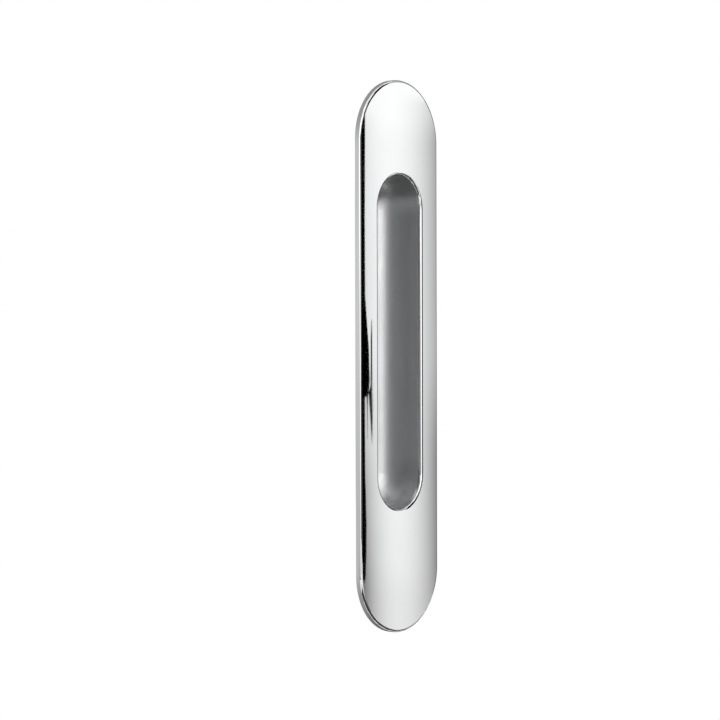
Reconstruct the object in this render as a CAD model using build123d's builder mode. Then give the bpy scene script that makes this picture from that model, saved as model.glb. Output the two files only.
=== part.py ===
from build123d import *
import os

# Oval flush pull: a polished face plate with a satin finger cup seated in its back.
# The frame's origin lies on the plate's back face, which bears on the door, at the middle of
# the plate. +X runs across the plate, +Y into the door and +Z up it. Sizes are in millimetres.

# Finger opening in the plate, straight-sided with round ends
opening_length = 109.0
opening_width = 22.0

# Border of the plate round that opening
border_side = 9.0
border_top = 30.7
border_bottom = 40.3

# Thickness of the plate
lip_depth = 1.2  # from the seated cup to the face, at the plate's long edges
crown = 0.3  # rise of the arched face from its long edges to its centre line

# Small rounds of the plate
edge_round = 0.7
rim_round = 0.8

# Drawn cup
sheet = 1.0
mouth_cover = 1.0  # how far the plate's edge stands over the cup's mouth, for the fingers to pull on
cup_depth = 16.5  # from the plate's back face to the cup's floor
mouth_bend = 1.2  # on the finger side, where the cup's wall turns into its flange
flange_reach = 3.0  # from the inside of the cup's wall to the flange's edge
seat_clearance = 0.1  # round the flange, in the seat cut into the plate's back

# Sizes that follow
plate_length = border_bottom + opening_length + border_top
plate_width = opening_width + 2 * border_side
edge_thickness = sheet + lip_depth
full_thickness = edge_thickness + crown
opening_rise = (border_bottom - border_top) / 2
straight_length = opening_length - opening_width
cup_width = opening_width + 2 * mouth_cover
bowl_centre = cup_depth - cup_width / 2
end_height = opening_rise + straight_length / 2
flange_width = cup_width + 2 * flange_reach
flange_length = straight_length + flange_width

os.makedirs("parts", exist_ok=True)

# Plane.XZ looks out of the face: its own z runs towards -Y, and its y up the plate
back_plane = Plane.XZ
opening_centre = (0, opening_rise)

# Face plate: the arched section runs the length of the plate and is cut to the oval outline
with BuildPart() as face_plate:
    with BuildSketch(Plane.XY.offset(-plate_length / 2)) as arched_section:
        with BuildLine():
            Polyline(
                (-plate_width / 2, -edge_thickness),
                (-plate_width / 2, 0),
                (plate_width / 2, 0),
                (plate_width / 2, -edge_thickness),
            )
            ThreePointArc(
                (plate_width / 2, -edge_thickness),
                (0, -full_thickness),
                (-plate_width / 2, -edge_thickness),
            )
        make_face()
    extrude(amount=plate_length)
    with BuildSketch(back_plane) as plate_outline:
        SlotOverall(plate_length, plate_width, rotation=90)
    extrude(amount=full_thickness, mode=Mode.INTERSECT)
    fillet(face_plate.faces().sort_by(Axis.Y)[0].edges(), edge_round)

    # Opening through the face, with its front edge rolled into the lip
    with BuildSketch(back_plane) as opening_outline:
        with Locations(opening_centre):
            SlotOverall(opening_length, opening_width, rotation=90)
    extrude(amount=full_thickness, mode=Mode.SUBTRACT)
    arched_face = face_plate.faces().sort_by(Axis.Y)[0]
    fillet(arched_face.inner_wires()[0].edges(), rim_round)

    # Seat in the back for the cup's flange, as deep as the sheet is thick
    with BuildSketch(back_plane) as seat_outline:
        with Locations(opening_centre):
            SlotOverall(
                flange_length + 2 * seat_clearance,
                flange_width + 2 * seat_clearance,
                rotation=90,
            )
    extrude(amount=sheet, mode=Mode.SUBTRACT)

# Finger cup: one drawn sheet with a full round bottom, and a flange that lies flush with the
# plate's back. Half of its section turns half round for each end and runs along each side.
mouth_corner = (cup_width / 2, -sheet)
with BuildPart() as finger_cup:
    with BuildSketch(Plane.XY.offset(end_height)) as half_section:
        with BuildLine():
            CenterArc((0, bowl_centre), cup_width / 2, 0, 90)
            CenterArc((0, bowl_centre), cup_width / 2 + sheet, 0, 90)
            Line((0, cup_depth), (0, cup_depth + sheet))
            Polyline(
                (cup_width / 2, bowl_centre),
                mouth_corner,
                (flange_width / 2, -sheet),
                (flange_width / 2, 0),
                (cup_width / 2 + sheet, 0),
                (cup_width / 2 + sheet, bowl_centre),
            )
        make_face()
        fillet(half_section.vertices().sort_by_distance(mouth_corner)[0], mouth_bend)
    upper_end = revolve(axis=Axis((0, 0, end_height), (0, 1, 0)), revolution_arc=-180)
    mirror(upper_end, about=Plane.XY.offset(opening_rise))
    right_side = extrude(half_section.sketch, amount=-straight_length)
    mirror(right_side, about=Plane.YZ)

face_plate.part.label = "face_plate"
finger_cup.part.label = "finger_cup"
export_step(face_plate.part, "parts/face_plate.step")
export_step(finger_cup.part, "parts/finger_cup.step")
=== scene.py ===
"""Looks for an oval flush pull: a mirror-polished face plate with a satin finger cup in its back."""
import math
from functools import partial

import bpy
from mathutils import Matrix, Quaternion, Vector


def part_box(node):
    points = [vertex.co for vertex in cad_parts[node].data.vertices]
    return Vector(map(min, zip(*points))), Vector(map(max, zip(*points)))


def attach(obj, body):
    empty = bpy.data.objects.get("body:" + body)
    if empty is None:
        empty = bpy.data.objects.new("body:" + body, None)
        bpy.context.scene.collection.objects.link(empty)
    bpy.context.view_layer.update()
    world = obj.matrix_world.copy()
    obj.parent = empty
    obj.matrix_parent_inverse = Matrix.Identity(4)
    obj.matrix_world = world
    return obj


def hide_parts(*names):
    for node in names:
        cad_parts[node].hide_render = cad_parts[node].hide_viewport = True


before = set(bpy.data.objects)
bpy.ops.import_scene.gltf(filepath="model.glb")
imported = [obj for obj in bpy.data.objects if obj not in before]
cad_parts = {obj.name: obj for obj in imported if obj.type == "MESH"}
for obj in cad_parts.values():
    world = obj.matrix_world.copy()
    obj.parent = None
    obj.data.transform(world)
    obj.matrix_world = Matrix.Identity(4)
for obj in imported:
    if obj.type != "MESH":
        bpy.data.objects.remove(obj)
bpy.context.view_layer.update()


# Face plate
# One die-cast plate with round ends, arched across its width, polished to a mirror and chrome
# plated. Its opening rolls into a lip for the fingers. Its back is left dull from the casting,
# with a seat cut into it for the cup's flange, and is bonded to what the pull is let into.
plate_low, plate_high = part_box("face_plate")
cup_low, cup_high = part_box("finger_cup")

BORDER_SIDE = 0.009
CROWN = 0.0003
EDGE_ROUND = 0.0009
RIM_ROUND = 0.0009
BROKEN_BACK = 0.0003
SEAT_CLEARANCE = 0.0001
CHROME = (0.885, 0.89, 0.895)
CHROME_HAZED = (0.86, 0.865, 0.87)
HAZE_TINT = 0.5
POLISHED_ROUGHNESS = 0.010
HAZE_ROUGHNESS = 0.008
TOUCHED_ROUGHNESS = 0.02
TOUCHED_REACH = 0.005
DULL_BACK = (0.60, 0.61, 0.62)
CAST_ROUGHNESS = 0.34
CAST_GRAIN_ROUGHNESS = 0.12
CAST_GRAIN_HEIGHT = 0.00003
# The back starts where the surface faces this much towards +Y, and blends in at this rate
BACK_FACING = 0.7
BACK_BLEND = 5.0
# Grain, haze and wheel lines to a metre, and how the lines are drawn out along the plate
CHROME_MARKS = (2600, 55, 2400)
LINE_STRETCH = (1, 1, 0.02)

sheet = -cup_low.y
plate_half_width = plate_high.x
edge_thickness = -plate_low.y - CROWN
opening_half_width = plate_half_width - BORDER_SIDE
flange_half_width = cup_high.x
plate_outline = {"straight": plate_high.z - plate_half_width, "rise": 0.0}
opening_outline = {
    "straight": (cup_high.z - cup_low.z) / 2 - flange_half_width,
    "rise": (cup_high.z + cup_low.z) / 2,
}

# Both pieces are one section carried round an outline with straight sides and round ends. Each
# point of the section says how far it stands from the outline's middle line (reach), how deep
# it lies, half the length of that line (straight), how high its middle is (rise), and whether
# it follows the arch (arched).
SECTION_VALUES = ("reach", "depth", "straight", "rise", "arched")
END_STEPS = 128
SIDE_STEPS = 24
ROUND_STEPS = 16
FACE_STEPS = 28
SUPPORT = 0.00006
SMOOTH_BELOW = math.radians(30)
SEAM = 1e-6


def value_maths(tree, operation, first, second=None, clamp=False):
    node = tree.nodes.new("ShaderNodeMath")
    node.operation = operation
    node.use_clamp = clamp
    for socket, value in zip(node.inputs, (first, second)):
        if value is None:
            continue
        if isinstance(value, (int, float)):
            socket.default_value = value
        else:
            tree.links.new(value, socket)
    return node.outputs[0]


def section_value(tree, section, row, name):
    """A named value of the section's point in that row."""
    value = tree.nodes.new("GeometryNodeInputNamedAttribute")
    value.data_type = "FLOAT"
    value.inputs["Name"].default_value = name
    sample = tree.nodes.new("GeometryNodeSampleIndex")
    sample.data_type = "FLOAT"
    sample.domain = "POINT"
    tree.links.new(section, sample.inputs["Geometry"])
    tree.links.new(value.outputs["Attribute"], sample.inputs["Value"])
    tree.links.new(row, sample.inputs["Index"])
    return sample.outputs["Value"]


def round_ended_tree():
    tree = bpy.data.node_groups.new("round ended skin", "GeometryNodeTree")
    face = tree.interface
    face.new_socket("Section", in_out="INPUT", socket_type="NodeSocketGeometry")
    face.new_socket("End steps", in_out="INPUT", socket_type="NodeSocketInt")
    face.new_socket("Side steps", in_out="INPUT", socket_type="NodeSocketInt")
    face.new_socket("Half width", in_out="INPUT", socket_type="NodeSocketFloat")
    face.new_socket("Crown", in_out="INPUT", socket_type="NodeSocketFloat")
    face.new_socket("Finish", in_out="INPUT", socket_type="NodeSocketMaterial")
    face.new_socket("Skin", in_out="OUTPUT", socket_type="NodeSocketGeometry")
    given = tree.nodes.new("NodeGroupInput").outputs
    made = tree.nodes.new("NodeGroupOutput").inputs
    section, ends, sides = given["Section"], given["End steps"], given["Side steps"]
    maths = partial(value_maths, tree)

    # A grid with one row for each point of the section, and columns round the outline
    size = tree.nodes.new("GeometryNodeAttributeDomainSize")
    tree.links.new(section, size.inputs["Geometry"])
    columns = maths("ADD", maths("MULTIPLY", maths("ADD", ends, sides), 2), 1)
    grid = tree.nodes.new("GeometryNodeMeshGrid")
    tree.links.new(size.outputs["Point Count"], grid.inputs["Vertices X"])
    tree.links.new(columns, grid.inputs["Vertices Y"])
    index = tree.nodes.new("GeometryNodeInputIndex").outputs["Index"]
    row = maths("FLOOR", maths("DIVIDE", maths("ADD", index, 0.5), columns))
    column = maths("SUBTRACT", index, maths("MULTIPLY", row, columns))

    # Round the top end, down the left side, round the bottom end and up the right side
    def share(start, length):
        return maths("DIVIDE", maths("SUBTRACT", column, start), length, clamp=True)

    bottom_start = maths("ADD", ends, sides)
    right_start = maths("ADD", bottom_start, ends)
    turns = maths("ADD", share(0, ends), share(bottom_start, ends))
    angle = maths("MULTIPLY", turns, math.pi)
    travel = maths("SUBTRACT", share(right_start, sides), share(ends, sides))
    along = maths("ADD", maths("MULTIPLY", travel, 2), 1)

    # Place of each vertex, with the arched rows raised by the crown
    reach, depth, straight, rise, arched = (
        section_value(tree, section, row, name) for name in SECTION_VALUES
    )
    across = maths("MULTIPLY", reach, maths("COSINE", angle))
    end_height = maths("MULTIPLY", reach, maths("SINE", angle))
    height = maths("ADD", maths("ADD", maths("MULTIPLY", straight, along), rise), end_height)
    to_edge = maths("DIVIDE", across, given["Half width"])
    fall = maths("SUBTRACT", 1, maths("MULTIPLY", to_edge, to_edge))
    lift = maths("MULTIPLY", maths("MULTIPLY", fall, given["Crown"]), arched)
    place = tree.nodes.new("ShaderNodeCombineXYZ")
    tree.links.new(across, place.inputs["X"])
    tree.links.new(maths("SUBTRACT", depth, lift), place.inputs["Y"])
    tree.links.new(height, place.inputs["Z"])
    moved = tree.nodes.new("GeometryNodeSetPosition")
    tree.links.new(grid.outputs["Mesh"], moved.inputs["Geometry"])
    tree.links.new(place.outputs["Vector"], moved.inputs["Position"])

    # Close the seams, and keep the corners of the section crisp
    closed = tree.nodes.new("GeometryNodeMergeByDistance")
    closed.inputs["Distance"].default_value = SEAM
    tree.links.new(moved.outputs["Geometry"], closed.inputs["Geometry"])
    bend = tree.nodes.new("GeometryNodeInputMeshEdgeAngle")
    soft = maths("LESS_THAN", bend.outputs["Unsigned Angle"], SMOOTH_BELOW)
    shaded = tree.nodes.new("GeometryNodeSetShadeSmooth")
    shaded.domain = "EDGE"
    tree.links.new(closed.outputs["Geometry"], shaded.inputs["Geometry"])
    tree.links.new(soft, shaded.inputs["Shade Smooth"])
    real = tree.nodes.new("GeometryNodeRealizeInstances")
    tree.links.new(shaded.outputs["Geometry"], real.inputs["Geometry"])
    finish = tree.nodes.new("GeometryNodeSetMaterial")
    tree.links.new(real.outputs["Geometry"], finish.inputs["Geometry"])
    tree.links.new(given["Finish"], finish.inputs["Material"])
    tree.links.new(finish.outputs["Geometry"], made["Skin"])
    return tree


skin_tree = round_ended_tree()


def skin(name, section, material, half_width, crown=0.0):
    """One piece from its section, a list of dictionaries with the values above."""
    chain = bpy.data.meshes.new(name)
    chain.from_pydata([(p["reach"], p["depth"], 0) for p in section], [], [])
    for value in SECTION_VALUES:
        layer = chain.attributes.new(value, "FLOAT", "POINT")
        layer.data.foreach_set("value", [p[value] for p in section])
    piece = bpy.data.objects.new(name, chain)
    bpy.context.scene.collection.objects.link(piece)
    modifier = piece.modifiers.new("skin", "NODES")
    modifier.node_group = skin_tree
    values = {
        "End steps": END_STEPS,
        "Side steps": SIDE_STEPS,
        "Half width": half_width,
        "Crown": crown,
        "Finish": material,
    }
    for item in skin_tree.interface.items_tree:
        if item.name in values:
            modifier[item.identifier] = values[item.name]
    bpy.context.view_layer.update()
    evaluated = piece.evaluated_get(bpy.context.evaluated_depsgraph_get())
    final = bpy.data.meshes.new_from_object(evaluated)
    piece.modifiers.remove(modifier)
    piece.data = final
    final.name = name
    return piece


def section_point(outline, reach, depth, arched=0.0):
    return {
        "reach": reach,
        "depth": depth,
        "straight": outline["straight"],
        "rise": outline["rise"],
        "arched": arched,
    }


def rounded(outline, centre, radius, start, end, steps, arched=0.0):
    """Points of a round from one angle to another, in degrees, from reach towards depth."""
    points = []
    for step in range(steps + 1):
        turn = math.radians(start + (end - start) * step / steps)
        reach = centre[0] + radius * math.cos(turn)
        depth = centre[1] + radius * math.sin(turn)
        points.append(section_point(outline, reach, depth, arched))
    return points


def between(first, second, share):
    return {value: first[value] + (second[value] - first[value]) * share for value in first}


def plate_section():
    back_centre = (plate_half_width - BROKEN_BACK, -BROKEN_BACK)
    edge_centre = (plate_half_width - EDGE_ROUND, -edge_thickness + EDGE_ROUND)
    rim_centre = (opening_half_width + RIM_ROUND, -edge_thickness + RIM_ROUND)
    seat_reach = flange_half_width + SEAT_CLEARANCE
    points = rounded(plate_outline, back_centre, BROKEN_BACK, 90, 0, ROUND_STEPS // 2)
    points.append(section_point(plate_outline, plate_half_width, edge_centre[1] + SUPPORT, 1))
    points += rounded(plate_outline, edge_centre, EDGE_ROUND, 0, -90, ROUND_STEPS, 1)
    face_start = section_point(plate_outline, edge_centre[0] - SUPPORT, -edge_thickness, 1)
    face_end = section_point(opening_outline, rim_centre[0] + SUPPORT, -edge_thickness, 1)
    points += [between(face_start, face_end, step / FACE_STEPS) for step in range(FACE_STEPS + 1)]
    points += rounded(opening_outline, rim_centre, RIM_ROUND, 270, 180, ROUND_STEPS, 1)
    points.append(section_point(opening_outline, opening_half_width, rim_centre[1] + SUPPORT, 1))
    points.append(section_point(opening_outline, opening_half_width, -sheet))
    points.append(section_point(opening_outline, seat_reach, -sheet))
    points.append(section_point(opening_outline, seat_reach, 0))
    points.append(points[0])
    return points


def metal_marks_group():
    """Marks on worked metal: fine grain, a slow haze, and faint lines left by the wheel."""
    group = bpy.data.node_groups.new("metal marks", "ShaderNodeTree")
    face = group.interface
    face.new_socket("Place", in_out="INPUT", socket_type="NodeSocketVector")
    for name in ("Grain per metre", "Haze per metre", "Lines per metre"):
        face.new_socket(name, in_out="INPUT", socket_type="NodeSocketFloat")
    for name in ("Grain", "Haze", "Lines"):
        face.new_socket(name, in_out="OUTPUT", socket_type="NodeSocketFloat")
    nodes, links = group.nodes, group.links
    given = nodes.new("NodeGroupInput").outputs
    made = nodes.new("NodeGroupOutput").inputs
    stretched = nodes.new("ShaderNodeVectorMath")
    stretched.operation = "MULTIPLY"
    stretched.inputs[1].default_value = LINE_STRETCH
    links.new(given["Place"], stretched.inputs[0])
    # Each mark's detail, and the part of its noise that is spread from 0 to 1
    for name, detail, contrast, place in (
        ("Grain", 3.0, (0.25, 0.75), given["Place"]),
        ("Haze", 4.0, (0.38, 0.66), given["Place"]),
        ("Lines", 2.0, (0.35, 0.75), stretched.outputs[0]),
    ):
        noise = nodes.new("ShaderNodeTexNoise")
        noise.inputs["Detail"].default_value = detail
        links.new(place, noise.inputs["Vector"])
        links.new(given[f"{name} per metre"], noise.inputs["Scale"])
        spread = nodes.new("ShaderNodeMapRange")
        spread.inputs["From Min"].default_value = contrast[0]
        spread.inputs["From Max"].default_value = contrast[1]
        links.new(noise.outputs["Fac"], spread.inputs["Value"])
        links.new(spread.outputs["Result"], made[name])
    return group


metal_marks = metal_marks_group()


def marked_material(name, grain, haze, lines):
    """A material with the marks placed in it, and its shader and object coordinates."""
    material = bpy.data.materials.new(name)
    material.use_nodes = True
    tree = material.node_tree
    coordinates = tree.nodes.new("ShaderNodeTexCoord")
    marks = tree.nodes.new("ShaderNodeGroup")
    marks.node_tree = metal_marks
    tree.links.new(coordinates.outputs["Object"], marks.inputs["Place"])
    marks.inputs["Grain per metre"].default_value = grain
    marks.inputs["Haze per metre"].default_value = haze
    marks.inputs["Lines per metre"].default_value = lines
    shader = tree.nodes["Principled BSDF"]
    shader.inputs["Metallic"].default_value = 1.0
    return material, tree, shader, marks.outputs, coordinates.outputs


def mixed_colour(tree, share, first, second):
    """A mix of two colours, each written out or from a socket."""
    mix = tree.nodes.new("ShaderNodeMix")
    mix.data_type = "RGBA"
    for socket, colour in ((mix.inputs["A"], first), (mix.inputs["B"], second)):
        if isinstance(colour, tuple):
            socket.default_value = (*colour, 1)
        else:
            tree.links.new(colour, socket)
    tree.links.new(share, mix.inputs["Factor"])
    return mix.outputs["Result"]


def bumped(tree, shader, height, distance):
    bump = tree.nodes.new("ShaderNodeBump")
    bump.inputs["Distance"].default_value = distance
    tree.links.new(height, bump.inputs["Height"])
    tree.links.new(bump.outputs["Normal"], shader.inputs["Normal"])


def polished_chrome():
    """Mirror chrome, a little hazed where fingers touch it round the opening, with a dull back."""
    made = marked_material("polished_chrome", *CHROME_MARKS)
    material, tree, shader, marks, coordinates = made
    maths = partial(value_maths, tree)

    # How far the place lies from the opening's outline
    place = tree.nodes.new("ShaderNodeSeparateXYZ")
    tree.links.new(coordinates["Object"], place.inputs[0])
    above = maths("ABSOLUTE", maths("SUBTRACT", place.outputs["Z"], opening_outline["rise"]))
    past_end = maths("MAXIMUM", maths("SUBTRACT", above, opening_outline["straight"]), 0.0)
    squares = maths("ADD", maths("POWER", place.outputs["X"], 2.0), maths("POWER", past_end, 2.0))
    from_rim = maths("SUBTRACT", maths("SQRT", squares), opening_half_width)
    near_rim = maths("SUBTRACT", 1.0, maths("DIVIDE", from_rim, TOUCHED_REACH), clamp=True)
    touched = maths("MULTIPLY", near_rim, marks["Haze"])

    # The back is whatever faces +Y
    facing = tree.nodes.new("ShaderNodeSeparateXYZ")
    tree.links.new(coordinates["Normal"], facing.inputs[0])
    past_side = maths("SUBTRACT", facing.outputs["Y"], BACK_FACING)
    dull = maths("MULTIPLY", past_side, BACK_BLEND, clamp=True)
    bright = maths("SUBTRACT", 1.0, dull)

    haze = maths("MULTIPLY", maths("ADD", marks["Haze"], marks["Lines"]), HAZE_ROUGHNESS)
    worn = maths("MULTIPLY", touched, TOUCHED_ROUGHNESS)
    polished = maths("ADD", maths("ADD", haze, worn), POLISHED_ROUGHNESS)
    cast = maths("ADD", maths("MULTIPLY", marks["Grain"], CAST_GRAIN_ROUGHNESS), CAST_ROUGHNESS)
    roughness = maths("ADD", maths("MULTIPLY", polished, bright), maths("MULTIPLY", cast, dull))
    tree.links.new(roughness, shader.inputs["Roughness"])
    plated = mixed_colour(tree, maths("MULTIPLY", marks["Haze"], HAZE_TINT), CHROME, CHROME_HAZED)
    tree.links.new(mixed_colour(tree, dull, plated, DULL_BACK), shader.inputs["Base Color"])
    bumped(tree, shader, maths("MULTIPLY", marks["Grain"], dull), CAST_GRAIN_HEIGHT)
    return material


chrome = polished_chrome()
face_plate = skin("face_plate_polished", plate_section(), chrome, plate_half_width, CROWN)
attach(face_plate, "root")
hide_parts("face_plate")


# Finger cup
# One cup drawn from 1 mm sheet steel with a full round bottom, blasted to a fine satin. Its wall
# turns out over a small bend into a flange, which is bonded into the seat in the plate's back.
MOUTH_COVER = 0.001
MOUTH_BEND = 0.0012
BEND_STEPS = 10
BOWL_STEPS = 40
SATIN = (0.722, 0.727, 0.732)
SATIN_SHADED = (0.684, 0.69, 0.696)
SHADED_BY_HAZE = 0.3
SHADED_BY_GRAIN = 0.5
SATIN_ROUGHNESS = 0.28
SATIN_GRAIN_ROUGHNESS = 0.08
SATIN_HAZE_ROUGHNESS = 0.03
SATIN_GRAIN_HEIGHT = 0.000012
# Height of the lines from the drawing, as a share of the grain's
DRAWN_LINES = 0.15
# Grain, haze and drawn lines to a metre
SATIN_MARKS = (5200, 90, 1500)

cup_half_width = opening_half_width + MOUTH_COVER
cup_floor = cup_high.y - sheet
bowl_centre = cup_floor - cup_half_width


def cup_section():
    centre = (0.0, bowl_centre)
    bend_centre = (cup_half_width + MOUTH_BEND, -sheet + MOUTH_BEND)
    corner_reach = cup_half_width + sheet
    points = rounded(opening_outline, centre, cup_half_width, 90, 0, BOWL_STEPS)
    points += rounded(opening_outline, bend_centre, MOUTH_BEND, 180, 270, BEND_STEPS)
    points.append(section_point(opening_outline, flange_half_width, -sheet))
    points.append(section_point(opening_outline, flange_half_width, 0))
    points.append(section_point(opening_outline, corner_reach, 0))
    points += rounded(opening_outline, centre, corner_reach, 0, 90, BOWL_STEPS)
    return points


def satin_steel():
    material, tree, shader, marks, _ = marked_material("satin_steel", *SATIN_MARKS)
    maths = partial(value_maths, tree)
    grainy = maths("MULTIPLY", marks["Grain"], SATIN_GRAIN_ROUGHNESS)
    hazed = maths("MULTIPLY", marks["Haze"], SATIN_HAZE_ROUGHNESS)
    roughness = maths("ADD", maths("ADD", grainy, hazed), SATIN_ROUGHNESS)
    tree.links.new(roughness, shader.inputs["Roughness"])
    from_haze = maths("MULTIPLY", marks["Haze"], SHADED_BY_HAZE)
    shade = maths("ADD", from_haze, maths("MULTIPLY", marks["Grain"], SHADED_BY_GRAIN))
    tree.links.new(mixed_colour(tree, shade, SATIN, SATIN_SHADED), shader.inputs["Base Color"])
    drawn = maths("ADD", marks["Grain"], maths("MULTIPLY", marks["Lines"], DRAWN_LINES))
    bumped(tree, shader, drawn, SATIN_GRAIN_HEIGHT)
    return material


satin = satin_steel()
finger_cup = skin("finger_cup_satin", cup_section(), satin, flange_half_width)
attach(finger_cup, "root")
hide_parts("finger_cup")


# Backdrop and floor
# A white board that the plate lies on, a hair behind the plate's back and open where the plate
# covers it, so that it shows only from the front. A pale floor lies well below the pull.
BOARD_REACH = 3.0
BOARD_GAP = 0.0001
BOARD_INSET = 0.0002
BOARD_STEPS = 24
BOARD_WHITE = (0.8, 0.8, 0.8, 1)
# Heights on the board, and how brightly it glows there to the plate's side wall, which mirrors it:
# painted shade, dimmer towards the plate's ends in place of the shade on the door beside them
BOARD_PAINTED_SHADE = (
    (-0.089, 0.16),
    (-0.080, 0.30),
    (-0.068, 0.52),
    (0.03, 0.64),
    (0.066, 0.60),
    (0.080, 0.34),
    (0.089, 0.30),
)
FLOOR_HEIGHT = -0.5
FLOOR_REACH = 60.0
FLOOR_PALE = (0.92, 0.92, 0.92)
FLOOR_PALER = (0.95, 0.95, 0.95)
FLOOR_SPECKLE = 90.0


def empty_material(name):
    material = bpy.data.materials.new(name)
    material.use_nodes = True
    material.node_tree.nodes.clear()
    return material, material.node_tree.nodes, material.node_tree.links


def staged(name, verts, faces, material):
    mesh = bpy.data.meshes.new(name)
    mesh.from_pydata(verts, [], faces)
    mesh.materials.append(material)
    made = bpy.data.objects.new(name, mesh)
    bpy.context.scene.collection.objects.link(made)
    return made


def brightness_ramp(nodes, links, factor, stops):
    """Brightness along one direction, from stops of place and brightness."""
    node = nodes.new("ShaderNodeValToRGB")
    node.color_ramp.interpolation = "EASE"
    for number, (place, level) in enumerate(stops):
        if number < 2:
            stop = node.color_ramp.elements[number]
            stop.position = place
        else:
            stop = node.color_ramp.elements.new(place)
        stop.color = (level, level, level, 1)
    links.new(factor, node.inputs["Fac"])
    return node.outputs["Color"]


def board_material():
    """White to the camera, and to the chrome a board that glows with painted shade, dimmer towards
    the plate's ends.
    """
    material, nodes, links = empty_material("backdrop")
    path = nodes.new("ShaderNodeLightPath")
    place = nodes.new("ShaderNodeSeparateXYZ")
    links.new(nodes.new("ShaderNodeTexCoord").outputs["Object"], place.inputs[0])
    # Painted shade: to glossy rays the board glows by height, dimmer towards the plate's ends
    lowest, highest = BOARD_PAINTED_SHADE[0][0], BOARD_PAINTED_SHADE[-1][0]
    height = nodes.new("ShaderNodeMapRange")
    height.inputs["From Min"].default_value = lowest
    height.inputs["From Max"].default_value = highest
    links.new(place.outputs["Z"], height.inputs["Value"])
    stops = [((z - lowest) / (highest - lowest), level) for z, level in BOARD_PAINTED_SHADE]
    painted_shade_level = brightness_ramp(nodes, links, height.outputs["Result"], stops)
    white = nodes.new("ShaderNodeEmission")
    painted_shade_glow = nodes.new("ShaderNodeEmission")
    links.new(painted_shade_level, painted_shade_glow.inputs["Strength"])
    matt = nodes.new("ShaderNodeBsdfDiffuse")
    matt.inputs["Color"].default_value = BOARD_WHITE
    clear = nodes.new("ShaderNodeBsdfTransparent")
    side = nodes.new("ShaderNodeNewGeometry")
    result = matt.outputs[0]
    for share, shader in (
        (path.outputs["Is Glossy Ray"], painted_shade_glow.outputs[0]),
        (path.outputs["Is Camera Ray"], white.outputs[0]),
        (side.outputs["Backfacing"], clear.outputs[0]),
    ):
        mix = nodes.new("ShaderNodeMixShader")
        links.new(share, mix.inputs[0])
        links.new(result, mix.inputs[1])
        links.new(shader, mix.inputs[2])
        result = mix.outputs[0]
    links.new(result, nodes.new("ShaderNodeOutputMaterial").inputs[0])
    return material


def board():
    hole = []
    reach = plate_half_width - BOARD_INSET
    for side in (1, -1):
        for step in range(BOARD_STEPS + 1):
            turn = math.pi * step / BOARD_STEPS
            height = side * (plate_outline["straight"] + reach * math.sin(turn))
            hole.append((side * reach * math.cos(turn), BOARD_GAP, height))
    outer = []
    for x, y, z in hole:
        scale = BOARD_REACH / max(abs(x), abs(z))
        outer.append((x * scale, y, z * scale))
    count = len(hole)
    faces = [(k, count + k, count + (k + 1) % count, (k + 1) % count) for k in range(count)]
    made = staged("backdrop", hole + outer, faces, board_material())
    if made.data.polygons[0].normal.y > 0:
        made.data.flip_normals()


def floor_material():
    material, nodes, links = empty_material("floor")
    speckle = nodes.new("ShaderNodeTexNoise")
    speckle.inputs["Scale"].default_value = FLOOR_SPECKLE
    links.new(nodes.new("ShaderNodeTexCoord").outputs["Object"], speckle.inputs["Vector"])
    tint = mixed_colour(material.node_tree, speckle.outputs["Fac"], FLOOR_PALE, FLOOR_PALER)
    matt = nodes.new("ShaderNodeBsdfDiffuse")
    links.new(tint, matt.inputs["Color"])
    links.new(matt.outputs[0], nodes.new("ShaderNodeOutputMaterial").inputs[0])
    return material


board()
floor_corners = [
    (-FLOOR_REACH, -FLOOR_REACH, FLOOR_HEIGHT),
    (FLOOR_REACH, -FLOOR_REACH, FLOOR_HEIGHT),
    (FLOOR_REACH, FLOOR_REACH, FLOOR_HEIGHT),
    (-FLOOR_REACH, FLOOR_REACH, FLOOR_HEIGHT),
]
staged("floor", floor_corners, [(0, 1, 2, 3)], floor_material())


# Studio
# A white world, with curved panels round the pull and two cards under its front that only its
# metal sees: a graded softbox in front on the right, black flags beside it, softer lights on both
# sides, and a dark card that shades the cup's upper end.
# A bearing is an angle seen from above, in degrees, 0 straight out of the face and 90 towards +X.
PICTURE_MIDDLE = 360
PICTURE_PER_METRE = 3060
EYE_HEIGHT = 0.0189
EYE_DISTANCE = 0.728
PANEL_COLUMNS = 24


def mirrored_height(row, distance):
    """Height, on a panel at that distance, that the plate mirrors at a row of the picture."""
    height = (PICTURE_MIDDLE - row) / PICTURE_PER_METRE
    return height + distance * (height - EYE_HEIGHT) / EYE_DISTANCE


def only_mirrored(made):
    made.visible_camera = False
    made.visible_diffuse = False
    made.visible_shadow = False


def panel(name, rows, distance, material):
    """A panel curved about the pull, from rows of height, left bearing and right bearing.

    Its UV map runs from 0 to 1 both ways.
    """
    verts, faces, marks = [], [], []
    low, high = rows[0][0], rows[-1][0]
    for height, left, right in rows:
        for column in range(PANEL_COLUMNS + 1):
            share = column / PANEL_COLUMNS
            turn = math.radians(left + (right - left) * share)
            verts.append((distance * math.sin(turn), -distance * math.cos(turn), height))
            marks.append((share, (height - low) / (high - low)))
    for row in range(len(rows) - 1):
        for column in range(PANEL_COLUMNS):
            corner = row * (PANEL_COLUMNS + 1) + column
            above = corner + PANEL_COLUMNS + 1
            faces.append((corner, corner + 1, above + 1, above))
    made = staged(name, verts, faces, material)
    uv = made.data.uv_layers.new(name="panel")
    for loop in made.data.loops:
        uv.data[loop.index].uv = marks[loop.vertex_index]
    only_mirrored(made)


def upright_rows(heights, bearings):
    """Rows of a panel whose sides stand upright."""
    return [(height, *bearings) for height in heights]


def lamp(name, strength=1.0):
    """A material of plain light, and its node for a strength that varies."""
    material, nodes, links = empty_material(name)
    light = nodes.new("ShaderNodeEmission")
    light.inputs["Strength"].default_value = strength
    links.new(light.outputs[0], nodes.new("ShaderNodeOutputMaterial").inputs[0])
    return material, light


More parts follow.
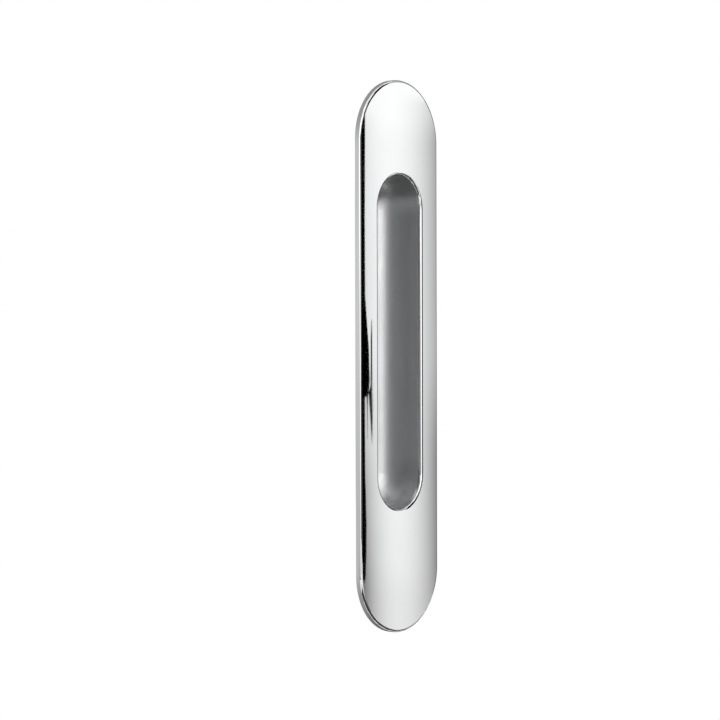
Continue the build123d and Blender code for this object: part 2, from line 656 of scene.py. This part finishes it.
def placed(tree, coordinates):
    """X, Y and Z of a kind of texture coordinates."""
    place = tree.nodes.new("ShaderNodeSeparateXYZ")
    tree.links.new(tree.nodes.new("ShaderNodeTexCoord").outputs[coordinates], place.inputs[0])
    return place.outputs


# The softbox is brightest along a line that leans a little. Its stops say how bright it is at a row
# of the picture: on that line, and at the left and the right reach from it.
SOFTBOX_DISTANCE = 2.0
SOFTBOX_BEARINGS = (40.0, 58.0)
SOFTBOX_HEIGHTS = (-0.45, 0.45)
SOFTBOX_STRENGTH = 1.12
SOFTBOX_CENTRE = 50.6
SOFTBOX_LEAN = -1.2
SOFTBOX_LEFT_REACH = 4.2
SOFTBOX_RIGHT_REACH = 4.6
SOFTBOX_PEAK = ((616, 0.79), (552, 0.86), (480, 0.89), (150, 0.955), (112, 1.0))
SOFTBOX_LEFT = ((600, 0.18), (500, 0.30), (440, 0.46), (340, 0.66), (130, 0.68), (92, 0.95))
SOFTBOX_RIGHT = ((600, 0.34), (480, 0.36), (340, 0.55), (150, 0.58), (110, 0.7), (90, 1.0))
SOFTBOX_TOP_HEIGHTS = (0.45, 2.2)
SOFTBOX_TOP_BEARINGS = (46, 62)
SOFTBOX_TOP_STRENGTH = 0.5


def softbox_lamp():
    material, light = lamp("key_softbox")
    tree = material.node_tree
    nodes, links = tree.nodes, tree.links
    maths = partial(value_maths, tree)
    place = placed(tree, "UV")
    low, high = SOFTBOX_HEIGHTS
    first, last = SOFTBOX_BEARINGS

    def along(stops):
        shares = []
        for row, level in stops:
            shares.append(((mirrored_height(row, SOFTBOX_DISTANCE) - low) / (high - low), level))
        return brightness_ramp(nodes, links, place["Y"], shares)

    peak = along(SOFTBOX_PEAK)
    left = along(SOFTBOX_LEFT)
    right = along(SOFTBOX_RIGHT)
    bearing = maths("ADD", maths("MULTIPLY", place["X"], last - first), first)
    centre = maths("ADD", maths("MULTIPLY", place["Y"], SOFTBOX_LEAN), SOFTBOX_CENTRE)
    offset = maths("SUBTRACT", bearing, centre)
    is_left = maths("LESS_THAN", offset, 0.0)
    is_right = maths("SUBTRACT", 1.0, is_left)
    left_share = maths("MULTIPLY", maths("DIVIDE", offset, SOFTBOX_LEFT_REACH), is_left)
    right_share = maths("MULTIPLY", maths("DIVIDE", offset, SOFTBOX_RIGHT_REACH), is_right)
    across = maths("ADD", left_share, right_share)
    side = maths("ADD", maths("MULTIPLY", left, is_left), maths("MULTIPLY", right, is_right))
    drop = maths("MULTIPLY", maths("SUBTRACT", peak, side), maths("MULTIPLY", across, across))
    level = maths("MULTIPLY", maths("SUBTRACT", peak, drop), SOFTBOX_STRENGTH)
    links.new(maths("MAXIMUM", level, 0.0), light.inputs["Strength"])
    return material


black, _ = lamp("black_flag", 0.0)
softbox_rows = upright_rows(SOFTBOX_HEIGHTS, SOFTBOX_BEARINGS)
panel("key_softbox", softbox_rows, SOFTBOX_DISTANCE, softbox_lamp())
top_rows = upright_rows(SOFTBOX_TOP_HEIGHTS, SOFTBOX_TOP_BEARINGS)
top_lamp, _ = lamp("softbox_top", SOFTBOX_TOP_STRENGTH)
panel("softbox_top", top_rows, SOFTBOX_DISTANCE, top_lamp)

# The wide flag: bearings along it, the picture row of its bottom edge, and the height of its top
# edge from there to the next bearing
FLAG_DISTANCE = 1.9
FLAG_EDGE = 46.3
FLAG_PARTS = 6
WIDE_FLAG = (
    (-30, 540, 0.33),
    (-5, 552, 0.36),
    (12, 558, 3.0),
    (40, 575, 3.0),
    (FLAG_EDGE, 586, 3.0),
)
for number in range(len(WIDE_FLAG) - 1):
    (start, first_row, top), (end, last_row, _) = WIDE_FLAG[number:number + 2]
    for step in range(FLAG_PARTS):
        left = start + (end - start) * step / FLAG_PARTS
        right = start + (end - start) * (step + 1) / FLAG_PARTS
        row = first_row + (last_row - first_row) * (step + 0.5) / FLAG_PARTS
        heights = (mirrored_height(row, FLAG_DISTANCE), top)
        name = f"black_flag_{number}_{step}"
        panel(name, upright_rows(heights, (left, right)), FLAG_DISTANCE, black)

# Narrow black strips beside it: picture rows from the lowest up, with left and right bearings
NARROW_FLAGS = {
    "black_flag_edge": (
        (588, FLAG_EDGE, 46.35),
        (582, FLAG_EDGE, 46.48),
        (560, FLAG_EDGE, 46.57),
        (530, FLAG_EDGE, 46.61),
        (500, FLAG_EDGE, 46.53),
        (480, FLAG_EDGE, 46.47),
        (420, FLAG_EDGE, 46.44),
        (300, FLAG_EDGE, 46.52),
        (220, FLAG_EDGE, 46.49),
        (140, FLAG_EDGE, 46.55),
        (60, FLAG_EDGE, 46.55),
    ),
    "flag_stand": (
        (400, FLAG_EDGE, 46.55),
        (397, FLAG_EDGE, 46.9),
        (384, FLAG_EDGE, 47.02),
        (350, FLAG_EDGE, 46.93),
        (325, FLAG_EDGE, 46.72),
        (295, FLAG_EDGE, 46.5),
    ),
    "flag_pole": (
        (447, 47.24, 47.28),
        (436, 47.18, 47.33),
        (420, 47.08, 47.37),
        (404, 46.96, 47.36),
        (396, 46.90, 47.33),
        (388, 47.12, 47.33),
        (340, 47.17, 47.33),
        (322, 47.24, 47.30),
    ),
    "flag_leg": ((442, 46.72, 46.75), (410, 46.69, 46.78), (396, 46.62, 46.84)),
}
for name, strip in NARROW_FLAGS.items():
    rows = [(mirrored_height(row, FLAG_DISTANCE), left, right) for row, left, right in strip]
    panel(name, rows, FLAG_DISTANCE, black)

# Softer lights at the sides, and a faint glow in front. Their stops are shares of the width and
# the height, with how bright the light is there, and the two are multiplied.
SIDE_LIGHT_STRENGTH = 2.8
SIDE_LIGHTS = {
    "left_light": {
        "distance": 2.1,
        "heights": (-2.2, 2.6),
        "bearings": (-140, -30),
        "across": (
            (0.0, 0.22),
            (0.35, 0.25),
            (0.5, 0.33),
            (0.70, 0.30),
            (0.76, 0.26),
            (0.83, 0.46),
            (0.92, 0.98),
            (1.0, 1.0),
        ),
        "upward": (
            (0.0, 0.1),
            (0.34, 0.15),
            (0.37, 0.32),
            (0.40, 0.58),
            (0.43, 0.71),
            (0.455, 0.82),
            (0.48, 1.0),
            (0.55, 0.85),
            (1.0, 0.7),
        ),
    },
    "right_light": {
        "distance": 2.1,
        "heights": (-0.5, 2.6),
        "bearings": (58, 140),
        "across": ((0.0, 0.6), (0.3, 0.25), (1.0, 0.25)),
        "upward": ((0.0, 0.01), (0.30, 0.01), (0.42, 0.10), (0.55, 0.35), (1.0, 0.45)),
    },
    "far_glow": {
        "distance": 1.85,
        "heights": (-0.3, 2.0),
        "bearings": (-8, 18),
        "across": ((0.0, 0.0), (0.5, 0.14), (1.0, 0.0)),
        "upward": ((0.0, 0.8), (1.0, 1.0)),
    },
}


def graded_lamp(name, across, upward):
    material, light = lamp(name)
    tree = material.node_tree
    maths = partial(value_maths, tree)
    place = placed(tree, "UV")
    wide = brightness_ramp(tree.nodes, tree.links, place["X"], across)
    tall = brightness_ramp(tree.nodes, tree.links, place["Y"], upward)
    strength = maths("MULTIPLY", maths("MULTIPLY", wide, tall), SIDE_LIGHT_STRENGTH)
    tree.links.new(strength, light.inputs["Strength"])
    return material


for name, light in SIDE_LIGHTS.items():
    rows = upright_rows(light["heights"], light["bearings"])
    panel(name, rows, light["distance"], graded_lamp(name, light["across"], light["upward"]))

# Flat cards, by their left, right, far and near edges. The dark one's stops are shares of the way
# to its far edge, where it is as light as the white one beyond it.
DARK_CARD_EDGES = (-0.35, 0.75, -0.9, -0.08)
DARK_CARD_HEIGHT = -0.3
DARK_CARD_LIGHT = ((0.0, 0.05), (0.6, 0.05), (0.85, 0.28), (1.0, 1.0))
WHITE_CARD_EDGES = (-0.6, 0.95, -1.85, -0.4)
WHITE_CARD_HEIGHT = -0.45
WHITE_CARD_STRENGTH = 1.15


def card(name, edges, height, material):
    left, right, far, near = edges
    verts = [(left, far, height), (right, far, height), (right, near, height), (left, near, height)]
    only_mirrored(staged(name, verts, [(0, 1, 2, 3)], material))


def dark_card_material():
    material, light = lamp("dark_card")
    tree = material.node_tree
    place = placed(tree, "Object")
    share = value_maths(tree, "MULTIPLY", place["Y"], 1 / DARK_CARD_EDGES[2])
    level = brightness_ramp(tree.nodes, tree.links, share, DARK_CARD_LIGHT)
    tree.links.new(level, light.inputs["Strength"])
    return material


card("dark_card", DARK_CARD_EDGES, DARK_CARD_HEIGHT, dark_card_material())
white_lamp, _ = lamp("white_card", WHITE_CARD_STRENGTH)
card("white_card", WHITE_CARD_EDGES, WHITE_CARD_HEIGHT, white_lamp)

world = bpy.data.worlds.new("studio")
bpy.context.scene.world = world
world.use_nodes = True
world.node_tree.nodes["Background"].inputs["Color"].default_value = (1, 1, 1, 1)
world.node_tree.nodes["Background"].inputs["Strength"].default_value = 1.0


# Camera
# It stands to the left of the pull and a little above it, at the photograph's viewing angle.
PICTURE_SIZE = 720
CAMERA_AZIMUTH = math.radians(-50.713)
CAMERA_ELEVATION = math.radians(1.476)
CAMERA_DISTANCE = 0.7203
CAMERA_ROLL = math.radians(-0.160)
FOCAL_PIXELS = 2204.0
AIM_RIGHT = -0.011345
AIM_UP = -0.00099
SENSOR_WIDTH = 36.0
CLIP_START = 0.01
CLIP_END = 200

back = Vector(
    (
        math.sin(CAMERA_AZIMUTH) * math.cos(CAMERA_ELEVATION),
        -math.cos(CAMERA_AZIMUTH) * math.cos(CAMERA_ELEVATION),
        math.sin(CAMERA_ELEVATION),
    )
)
right = Vector((math.cos(CAMERA_AZIMUTH), math.sin(CAMERA_AZIMUTH), 0))
up = back.cross(right)
camera = bpy.data.objects.new("camera", bpy.data.cameras.new("camera"))
bpy.context.scene.collection.objects.link(camera)
bpy.context.scene.camera = camera
camera.location = back * CAMERA_DISTANCE
look = right * AIM_RIGHT + up * AIM_UP - camera.location
camera.rotation_mode = "QUATERNION"
camera.rotation_quaternion = look.to_track_quat("-Z", "Y") @ Quaternion((0, 0, 1), CAMERA_ROLL)
camera.data.sensor_width = SENSOR_WIDTH
camera.data.lens = FOCAL_PIXELS / PICTURE_SIZE * SENSOR_WIDTH
camera.data.clip_start = CLIP_START
camera.data.clip_end = CLIP_END

bpy.context.scene.view_settings.view_transform = "Standard"
